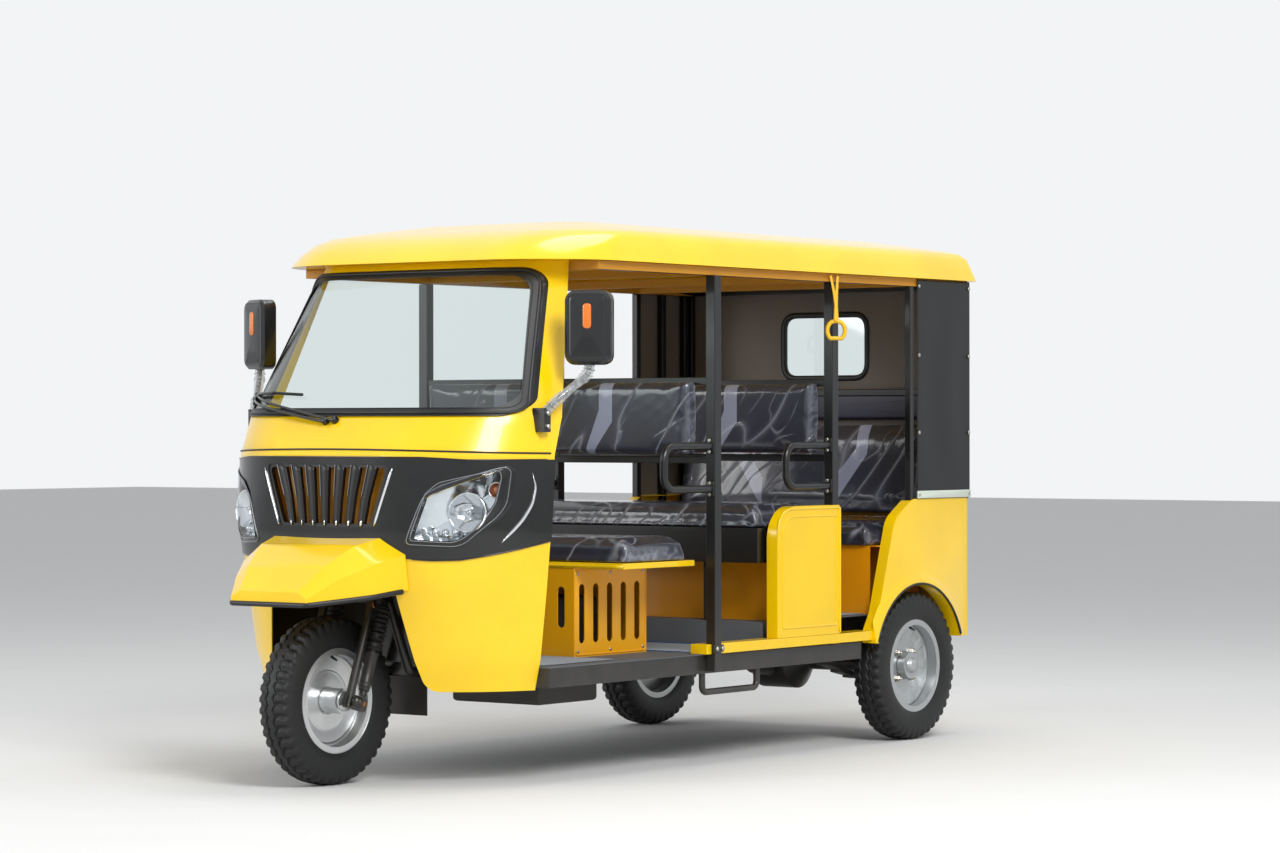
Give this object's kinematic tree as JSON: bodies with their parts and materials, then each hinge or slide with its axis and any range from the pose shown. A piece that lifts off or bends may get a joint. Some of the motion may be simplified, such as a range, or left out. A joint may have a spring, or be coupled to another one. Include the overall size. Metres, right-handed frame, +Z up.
{
  "type": "auto rickshaw",
  "caption": "Three-wheeled passenger vehicle with a moulded cab, bench seats, open sides, and a moulded roof on square posts; steered front fork, driven rear axle.",
  "frame": {"origin": "on the ground, midway between the front fender's tip and the roof's rear edge, on the vehicle's middle plane", "axes": "+Z up, +Y towards the rear, +X towards the vehicle's left side"},
  "size_m": [1.555, 3.197, 1.812],
  "materials": {
    "frame_black": "satin",
    "floor_grey": "satin",
    "body_yellow": "gloss",
    "panel_yellow": "gloss",
    "mask_black": "gloss",
    "grille_black": "gloss",
    "lamp_clear": "gloss",
    "lamp_red": "gloss",
    "window_glass": "clear",
    "seal_rubber": "matte",
    "flap_rubber": "matte",
    "roof_yellow": "gloss",
    "wall_vinyl": "matte",
    "curtain_black": "satin",
    "cover_grey": "satin",
    "engine_iron": "matte",
    "seat_vinyl": "satin",
    "seat_orange": "satin",
    "mirror_black": "satin",
    "strap_orange": "matte",
    "spring_steel": "satin",
    "wheel_steel": "satin",
    "wheel_alloy": "polished",
    "tyre_rubber": "matte"
  },
  "bodies": {
    "root": {"frame_rails": "frame_black", "cross_members": "frame_black", "front_frame": "frame_black", "floor_pan": "floor_grey", "cab_shell": "body_yellow", "nose_mask": "mask_black", "grille": "grille_black", "headlamps": "lamp_clear", "window_glass": "window_glass", "windscreen_seal": "seal_rubber", "front_fender": "body_yellow", "mudflap": "flap_rubber", "bulkhead": "frame_black", "roof_shell": "roof_yellow", "roof_frame": "frame_black", "posts": "frame_black", "sills": "panel_yellow", "side_panels": "panel_yellow", "quarter_panels": "panel_yellow", "rear_panel": "panel_yellow", "tail_lamps": "lamp_red", "rear_wall": "wall_vinyl", "curtains": "curtain_black", "engine_cover": "cover_grey", "engine_block": "engine_iron", "seat_frames": "panel_yellow", "seat_cushions": "seat_vinyl", "seat_backs": "seat_vinyl", "seat_back_bars": "frame_black", "seat_boxes": "seat_orange", "handles_and_steps": "frame_black", "mirrors": "mirror_black", "hand_straps": "strap_orange", "rear_axle": "frame_black", "spring_hangers": "frame_black", "leaf_springs": "spring_steel"},
    "steering": {"front_fork": "frame_black", "front_shocks": "spring_steel", "handlebar": "frame_black"},
    "front_wheel": {"front_tyre": "tyre_rubber", "front_rim": "wheel_alloy"},
    "left_wheel": {"left_tyre": "tyre_rubber", "left_rim": "wheel_steel"},
    "right_wheel": {"right_tyre": "tyre_rubber", "right_rim": "wheel_steel"}
  },
  "joints": [
    {"name": "steer", "type": "hinge", "parent": "root", "child": "steering", "pos_m": [0, -1.29831, 0.25674], "axis": [0, 0.342, 0.9397], "range_deg": [-35, 35]},
    {"name": "front_spin", "type": "hinge", "parent": "steering", "child": "front_wheel", "pos_m": [0, -1.3265, 0.267], "axis": [1, 0, 0], "continuous": true},
    {"name": "left_spin", "type": "hinge", "parent": "root", "child": "left_wheel", "pos_m": [0.576, 1.1735, 0.267], "axis": [1, 0, 0], "continuous": true},
    {"name": "right_spin", "type": "hinge", "parent": "root", "child": "right_wheel", "pos_m": [-0.576, 1.1735, 0.267], "axis": [1, 0, 0], "continuous": true}
  ]
}
